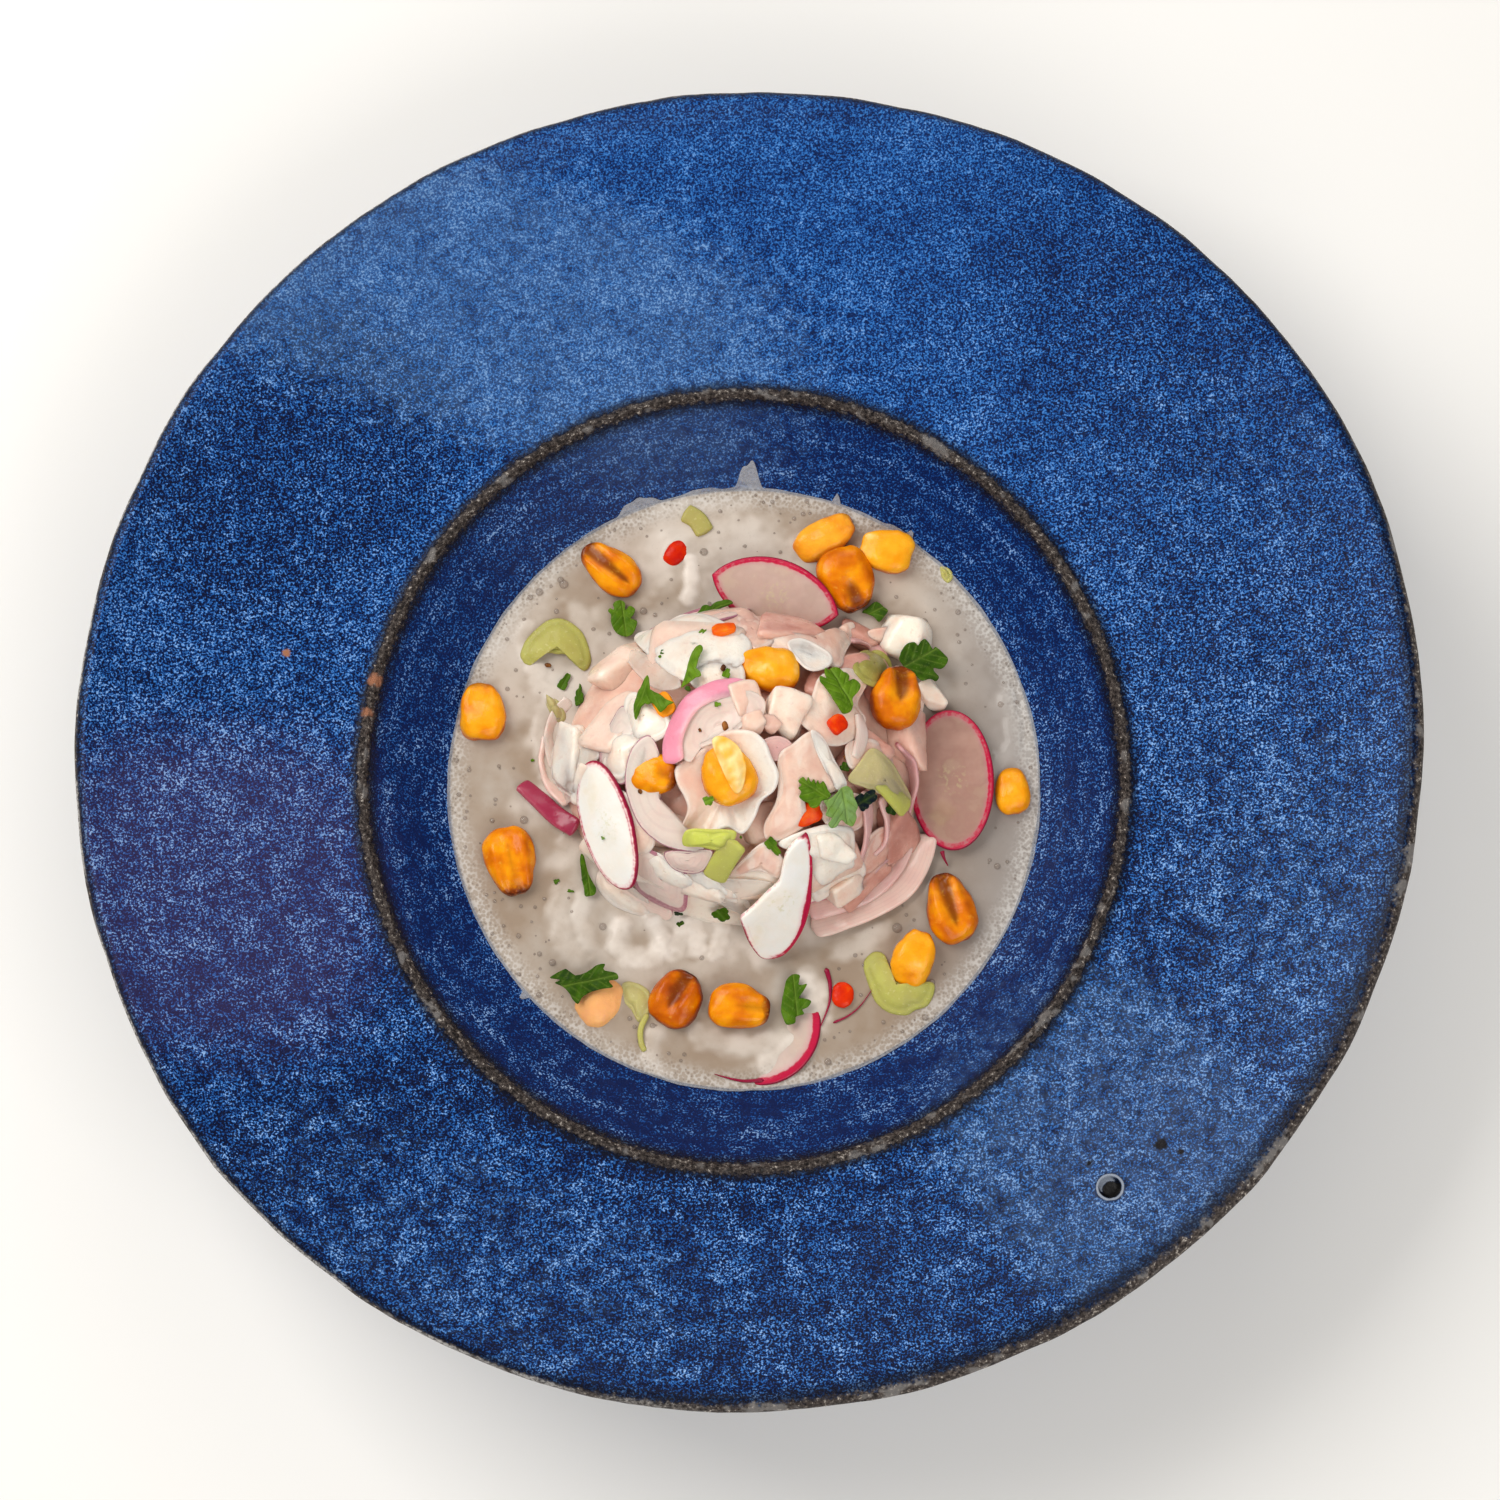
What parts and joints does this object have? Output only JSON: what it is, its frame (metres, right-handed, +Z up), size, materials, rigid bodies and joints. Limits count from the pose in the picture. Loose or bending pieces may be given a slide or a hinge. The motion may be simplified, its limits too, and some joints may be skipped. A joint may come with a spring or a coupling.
{
  "type": "ceviche on a stoneware plate",
  "caption": "Raw fish heap in pale citrus broth with toasted corn, radish, celery, onion and herb leaves, in a wide-brimmed blue stoneware soup plate.",
  "frame": {"origin": "on the table under the middle of the whole part's outline", "axes": "+Z up out of the plate, +X to the eater's right and +Y away from the eater"},
  "size_m": [0.2898, 0.2889, 0.0586],
  "materials": {
    "plate": "satin blue speckled glaze with bare brown clay on the rim and the ring ridge",
    "broth": "milky wet broth with fine bubbles",
    "fish": "wet white to pink raw fish",
    "corn": "toasted and oily, with dark brown tips",
    "radish": "wet thin slice with a magenta skin",
    "celery": "wet pale green flesh",
    "coriander": "soft veined leaf",
    "chilli": "wet red flesh",
    "onion": "wet translucent strips with a magenta skin edge"
  },
  "bodies": {
    "root": {"plate": "plate", "soup": "broth", "heap": "fish", "corn_01": "corn", "corn_02": "corn", "corn_03": "corn", "corn_04": "corn", "corn_05": "corn", "corn_06": "corn", "corn_07": "corn", "corn_08": "corn", "corn_09": "corn", "corn_10": "corn", "corn_11": "corn", "corn_12": "corn", "corn_13": "corn", "corn_14": "corn", "corn_15": "corn", "corn_16": "corn", "radish_1": "radish", "radish_2": "radish", "radish_3": "radish", "radish_4": "radish", "radish_5": "radish", "celery_1": "celery", "celery_2": "celery", "celery_3": "celery", "celery_4": "celery", "celery_5": "celery", "celery_6": "celery", "celery_7": "celery", "celery_8": "celery", "coriander_01": "coriander", "coriander_02": "coriander", "coriander_03": "coriander", "coriander_04": "coriander", "coriander_05": "coriander", "coriander_06": "coriander", "coriander_07": "coriander", "coriander_08": "coriander", "coriander_09": "coriander", "coriander_10": "coriander", "coriander_11": "coriander", "coriander_12": "coriander", "chilli_1": "chilli", "chilli_2": "chilli", "chilli_3": "chilli", "chilli_4": "chilli", "chilli_5": "chilli", "chilli_6": "chilli", "onion_1": "onion", "onion_2": "onion", "onion_3": "onion", "fish_1": "fish"}
  },
  "joints": []
}
